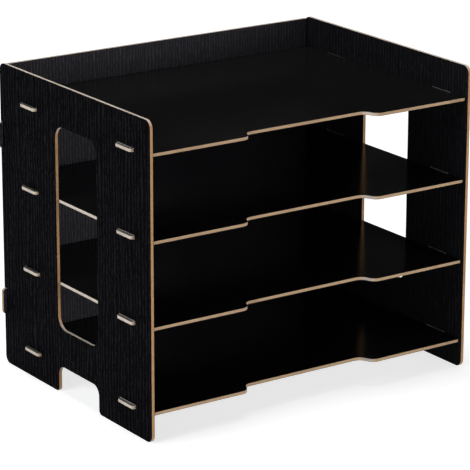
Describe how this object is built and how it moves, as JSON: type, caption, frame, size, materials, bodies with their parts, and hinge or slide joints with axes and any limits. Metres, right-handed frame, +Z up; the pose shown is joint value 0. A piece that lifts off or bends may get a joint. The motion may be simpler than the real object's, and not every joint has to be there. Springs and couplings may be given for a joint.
{
  "type": "letter tray stack",
  "caption": "Open desk rack of stacked letter trays between two upright sides with windows and foot arches; flat black laminated boards joined by tabs in slots.",
  "frame": {"origin": "on the table, in the middle of the rack's bounding box", "axes": "+X to the right, -Y towards the open front, +Z up"},
  "size_m": [0.341, 0.245, 0.28],
  "materials": {
    "side_board": "black embossed woodgrain laminate on fibreboard, bare tan edges",
    "back_board": "black embossed woodgrain laminate on fibreboard, bare tan edges",
    "tray_board": "black satin laminate on fibreboard, bare tan edges"
  },
  "bodies": {
    "root": {"left_side": "side_board", "right_side": "side_board", "back_panel": "back_board", "bottom_tray": "tray_board", "lower_tray": "tray_board", "upper_tray": "tray_board", "top_tray": "tray_board"}
  },
  "joints": []
}
